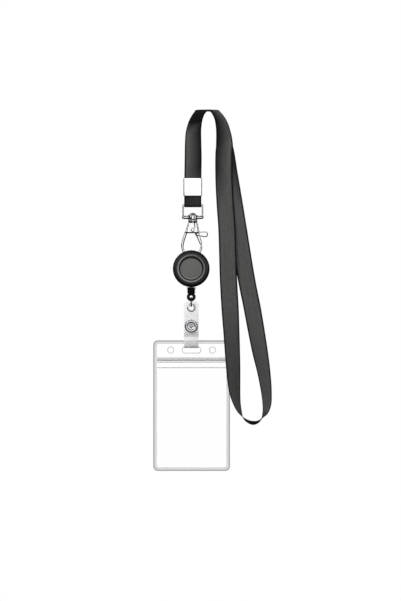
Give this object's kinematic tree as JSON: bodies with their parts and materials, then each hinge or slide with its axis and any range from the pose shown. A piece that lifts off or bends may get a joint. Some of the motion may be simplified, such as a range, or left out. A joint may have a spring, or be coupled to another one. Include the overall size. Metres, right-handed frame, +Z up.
{
  "type": "lanyard badge holder",
  "caption": "Neck ribbon with a crimp and swivel trigger hook, carrying a retracting badge reel, a snap strap and a clear zip-top card pouch.",
  "frame": {"origin": "underside of the neck ribbon's crown, midway through the ribbon's width, where a neck or peg holds it up", "axes": "+Z up as it hangs, -Y towards the front (the label side of the reel), +X to the right seen from the front"},
  "size_m": [0.1026, 0.0354, 0.3165],
  "materials": {
    "satin_black": "satin woven polyester",
    "bright_plate": "bright nickel plate",
    "cast_nickel": "polished nickel-plated zinc casting",
    "black_shell": "semi-gloss moulded plastic",
    "grey_label": "satin grey",
    "white_spool": "moulded",
    "spring_steel": "rolled strip and wire",
    "black_cord": "braided nylon",
    "clear_vinyl": "clear soft vinyl"
  },
  "bodies": {
    "neck": {"neck_strap": "satin_black", "strap_crimp": "bright_plate", "hook_tail": "satin_black"},
    "frame": {"swivel_frame": "cast_nickel"},
    "hook": {"swivel_post": "cast_nickel", "hook_body": "cast_nickel", "gate_rivet": "bright_plate", "gate_spring": "spring_steel"},
    "gate": {"hook_gate": "cast_nickel"},
    "reel": {"reel_front_cover": "black_shell", "label_disc": "grey_label", "reel_back_cover": "black_shell", "power_spring": "spring_steel", "belt_clip": "bright_plate", "clip_rivet": "bright_plate"},
    "drum": {"cord_spool": "white_spool", "wound_cord": "black_cord"},
    "cord_end": {"pull_cord": "black_cord", "cord_stopper": "black_shell"},
    "string": {"string_loop": "black_cord"},
    "strap": {"badge_strap": "clear_vinyl", "strap_eyelet": "bright_plate", "snap_cap": "bright_plate", "snap_socket": "cast_nickel", "snap_stud": "cast_nickel", "snap_post": "bright_plate"},
    "pouch": {"pouch_front_sheet": "clear_vinyl", "pouch_back_sheet": "clear_vinyl", "zip_channel": "clear_vinyl", "zip_rib": "clear_vinyl"}
  },
  "joints": [
    {"name": "frame_tilt", "type": "hinge", "parent": "neck", "child": "frame", "pos_m": [-0.0138, 0, -0.08255], "axis": [1, 0, 0], "range_deg": [0, 60]},
    {"name": "hook_swivel", "type": "hinge", "parent": "frame", "child": "hook", "pos_m": [-0.0138, 0, -0.09755], "axis": [0, 0, 1], "continuous": true},
    {"name": "gate_open", "type": "hinge", "parent": "hook", "child": "gate", "pos_m": [-0.0138, 0, -0.10425], "axis": [0, 1, 0], "range_deg": [0, 25], "stiffness_Nm_per_rad": 0.02, "springref_deg": -28.65},
    {"name": "reel_swing", "type": "hinge", "parent": "hook", "child": "reel", "pos_m": [-0.0151, 0, -0.12805], "axis": [1, 0, 0], "range_deg": [0, 45]},
    {"name": "drum_spin", "type": "hinge", "parent": "reel", "child": "drum", "pos_m": [-0.0151, -0.0069, -0.13835], "axis": [0, 1, 0], "range_deg": [0, 3910.5]},
    {"name": "cord_pull", "type": "slide", "parent": "reel", "child": "cord_end", "axis": [0, 0, -1], "range_m": [0, 0.6], "stiffness_N_per_m": 1, "springref_m": -0.5, "deforming": ["pull_cord"]},
    {"name": "string_sway", "type": "hinge", "parent": "cord_end", "child": "string", "pos_m": [-0.0151, -0.0069, -0.16295], "axis": [0, 1, 0], "range_deg": [-45, 45]},
    {"name": "strap_tip", "type": "hinge", "parent": "string", "child": "strap", "pos_m": [-0.0151, -0.0069, -0.17135], "axis": [1, 0, 0], "range_deg": [0, 18]},
    {"name": "pouch_swing", "type": "hinge", "parent": "strap", "child": "pouch", "pos_m": [-0.0148, -0.0069, -0.20665], "axis": [1, 0, 0], "range_deg": [0, 20]}
  ],
  "couplings": [
    {"joint": "drum_spin", "follows": "cord_pull", "rad_per_m": 113.64}
  ]
}
